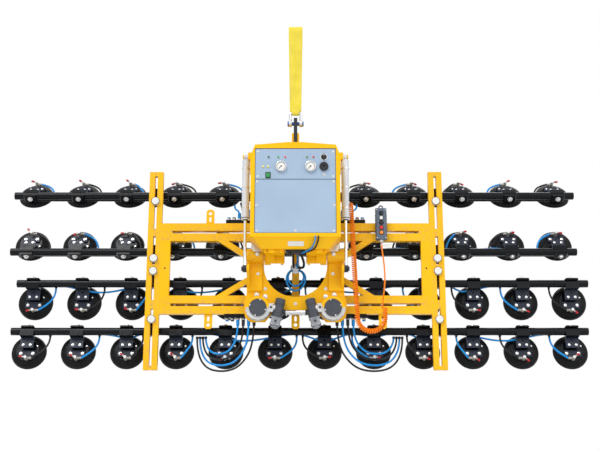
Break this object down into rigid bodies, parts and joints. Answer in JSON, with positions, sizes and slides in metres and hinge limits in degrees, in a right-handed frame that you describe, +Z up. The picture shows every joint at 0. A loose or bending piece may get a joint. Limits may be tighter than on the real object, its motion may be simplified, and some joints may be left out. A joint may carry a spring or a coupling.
{
  "type": "vacuum glass panel lifter",
  "caption": "Crane-hung vacuum lifter for glass panels: control box on a sling, powered tilting yoke, slewing ring, and a slotted frame with adjustable rows of suction pads.",
  "frame": {"origin": "seat of the crane hook in the sling's upper loop", "axes": "+Z up, +X to the operator's right, +Y away from the operator, towards the glass"},
  "size_m": [3.6693, 0.6645, 2.1678],
  "materials": {
    "yellow_paint": "semi-gloss",
    "grey_panel": "satin",
    "dark_steel": "satin",
    "lamp_lens": "gloss",
    "gauge_case": "gloss",
    "needle": "matte",
    "black_knob": "matte",
    "green_switch": "gloss",
    "bright_steel": "satin",
    "chrome_rod": "polished",
    "white_tube": "satin",
    "equipment": "matte",
    "blue_pin": "satin",
    "sling_web": "woven",
    "orange_cord": "satin",
    "vacuum_hose": "satin",
    "cast_silver": "cast",
    "motor_grey": "satin",
    "black_anodised": "satin",
    "pendant_grey": "matte",
    "button_dark": "matte",
    "button_white": "gloss",
    "button_red": "gloss",
    "button_orange": "gloss",
    "row_black": "powder coat",
    "pad_rubber": "matte",
    "clamp_black": "powder coat"
  },
  "bodies": {
    "carrier": {"housing": "yellow_paint", "control_fascia": "grey_panel", "access_panel": "grey_panel", "lifting_bar": "dark_steel", "lamps_and_sounder": "lamp_lens", "vacuum_gauges": "gauge_case", "carrier_legs": "yellow_paint", "side_brackets": "bright_steel", "actuator_mounts": "yellow_paint", "actuator_cylinders": "white_tube", "power_and_vacuum_unit": "equipment", "pendant_cord": "orange_cord", "supply_hoses": "vacuum_hose"},
    "left_needle": {"left_needle": "needle"},
    "right_needle": {"right_needle": "needle"},
    "selector": {"selector_knob": "black_knob"},
    "power_switch": {"power_switch": "green_switch"},
    "shackle": {"shackle_bow": "bright_steel", "shackle_pin": "blue_pin", "sling": "sling_web"},
    "actuator_rods": {"actuator_rods": "chrome_rod"},
    "yoke": {"yoke_frame": "yellow_paint", "tilt_pins": "bright_steel", "drive_gearboxes": "cast_silver", "drive_motors": "motor_grey", "slew_race": "bright_steel"},
    "left_pinion": {"left_pinion": "bright_steel"},
    "right_pinion": {"right_pinion": "bright_steel"},
    "pad_frame": {"slew_ring_gear": "bright_steel", "upper_beam": "yellow_paint", "lower_beam": "yellow_paint", "side_rails": "yellow_paint", "frame_posts": "yellow_paint", "hub_gussets": "yellow_paint", "frame_lugs": "yellow_paint", "vacuum_manifolds": "black_anodised", "rotary_union": "bright_steel", "loop_hoses": "vacuum_hose"},
    "pendant": {"pendant_case": "pendant_grey"},
    "row_1_carriage": {"row_1_clamps": "clamp_black"},
    "row_1": {"row_1_bar": "row_black", "row_1_pads": "pad_rubber", "row_1_hoses": "vacuum_hose"},
    "row_2_carriage": {"row_2_clamps": "clamp_black"},
    "row_2": {"row_2_bar": "row_black", "row_2_pads": "pad_rubber", "row_2_hoses": "vacuum_hose"},
    "row_3_carriage": {"row_3_clamps": "clamp_black"},
    "row_3": {"row_3_bar": "row_black", "row_3_pads": "pad_rubber", "row_3_hoses": "vacuum_hose"},
    "row_4_carriage": {"row_4_clamps": "clamp_black"},
    "row_4": {"row_4_bar": "row_black", "row_4_pads": "pad_rubber", "row_4_hoses": "vacuum_hose"},
    "tilt_up_button": {"tilt_up_button": "button_dark"},
    "tilt_down_button": {"tilt_down_button": "button_white"},
    "slew_button": {"slew_button": "button_dark"},
    "stop_button": {"stop_button": "button_red"},
    "release_button": {"release_button": "button_orange"}
  },
  "joints": [
    {"name": "shackle_swing", "type": "hinge", "parent": "carrier", "child": "shackle", "pos_m": [0, 0, -0.645], "axis": [1, 0, 0], "range_deg": [-40, 40]},
    {"name": "left_gauge", "type": "hinge", "parent": "carrier", "child": "left_needle", "pos_m": [-0.087, -0.126, -0.959], "axis": [0, 1, 0], "range_deg": [0, 270], "stiffness_Nm_per_rad": 0.004},
    {"name": "right_gauge", "type": "hinge", "parent": "carrier", "child": "right_needle", "pos_m": [0.091, -0.126, -0.959], "axis": [0, 1, 0], "range_deg": [0, 270], "stiffness_Nm_per_rad": 0.004},
    {"name": "selector_turn", "type": "hinge", "parent": "carrier", "child": "selector", "pos_m": [0.172, -0.12, -0.898], "axis": [0, 1, 0], "range_deg": [-45, 45]},
    {"name": "power_press", "type": "slide", "parent": "carrier", "child": "power_switch", "axis": [0, 1, 0], "range_m": [0, 0.004], "stiffness_N_per_m": 400},
    {"name": "tilt", "type": "hinge", "parent": "carrier", "child": "yoke", "pos_m": [0, 0.12, -1.46], "axis": [1, 0, 0], "range_deg": [-90, 0], "deforming": ["pendant_cord", "supply_hoses"]},
    {"name": "rod_slide", "type": "slide", "parent": "carrier", "child": "actuator_rods", "axis": [0, 0, 1], "range_m": [0, 0.2]},
    {"name": "slew", "type": "hinge", "parent": "yoke", "child": "pad_frame", "pos_m": [0, 0.23, -1.515], "axis": [0, 1, 0], "continuous": true},
    {"name": "left_pinion_spin", "type": "hinge", "parent": "yoke", "child": "left_pinion", "pos_m": [-0.22755, 0.12, -1.78618], "axis": [0, 1, 0], "continuous": true},
    {"name": "right_pinion_spin", "type": "hinge", "parent": "yoke", "child": "right_pinion", "pos_m": [0.22755, 0.12, -1.78618], "axis": [0, 1, 0], "continuous": true},
    {"name": "row_1_slide", "type": "slide", "parent": "pad_frame", "child": "row_1_carriage", "axis": [0, 0, 1], "range_m": [-0.06, 0.15], "deforming": ["loop_hoses"]},
    {"name": "row_1_swivel", "type": "hinge", "parent": "row_1_carriage", "child": "row_1", "pos_m": [0, 0.325, -1.02], "axis": [1, 0, 0], "range_deg": [-12, 12], "deforming": ["loop_hoses"]},
    {"name": "row_2_slide", "type": "slide", "parent": "pad_frame", "child": "row_2_carriage", "axis": [0, 0, 1], "range_m": [-0.015, 0.06]},
    {"name": "row_2_swivel", "type": "hinge", "parent": "row_2_carriage", "child": "row_2", "pos_m": [0, 0.325, -1.39], "axis": [1, 0, 0], "range_deg": [-12, 12]},
    {"name": "row_3_slide", "type": "slide", "parent": "pad_frame", "child": "row_3_carriage", "axis": [0, 0, 1], "range_m": [-0.02, 0.005]},
    {"name": "row_3_swivel", "type": "hinge", "parent": "row_3_carriage", "child": "row_3", "pos_m": [0, 0.325, -1.595], "axis": [1, 0, 0], "range_deg": [-12, 12]},
    {"name": "row_4_slide", "type": "slide", "parent": "pad_frame", "child": "row_4_carriage", "axis": [0, 0, 1], "range_m": [-0.25, 0.005], "deforming": ["loop_hoses"]},
    {"name": "row_4_swivel", "type": "hinge", "parent": "row_4_carriage", "child": "row_4", "pos_m": [0, 0.325, -1.898], "axis": [1, 0, 0], "range_deg": [-12, 12], "deforming": ["loop_hoses"]},
    {"name": "pendant_off", "type": "slide", "parent": "carrier", "child": "pendant", "axis": [0, -1, 0], "range_m": [0, 0.15], "deforming": ["pendant_cord"]},
    {"name": "tilt_up_button_press", "type": "slide", "parent": "pendant", "child": "tilt_up_button", "axis": [0, 1, 0], "range_m": [0, 0.004], "stiffness_N_per_m": 300},
    {"name": "tilt_down_button_press", "type": "slide", "parent": "pendant", "child": "tilt_down_button", "axis": [0, 1, 0], "range_m": [0, 0.004], "stiffness_N_per_m": 300},
    {"name": "slew_button_press", "type": "slide", "parent": "pendant", "child": "slew_button", "axis": [0, 1, 0], "range_m": [0, 0.004], "stiffness_N_per_m": 300},
    {"name": "stop_button_press", "type": "slide", "parent": "pendant", "child": "stop_button", "axis": [0, 1, 0], "range_m": [0, 0.004], "stiffness_N_per_m": 300},
    {"name": "release_button_press", "type": "slide", "parent": "pendant", "child": "release_button", "axis": [0, 1, 0], "range_m": [0, 0.004], "stiffness_N_per_m": 300}
  ],
  "couplings": [
    {"joint": "rod_slide", "follows": "tilt", "m_per_rad": -0.12732},
    {"joint": "left_pinion_spin", "follows": "slew", "ratio": -5.5556},
    {"joint": "right_pinion_spin", "follows": "slew", "ratio": -5.5556}
  ]
}
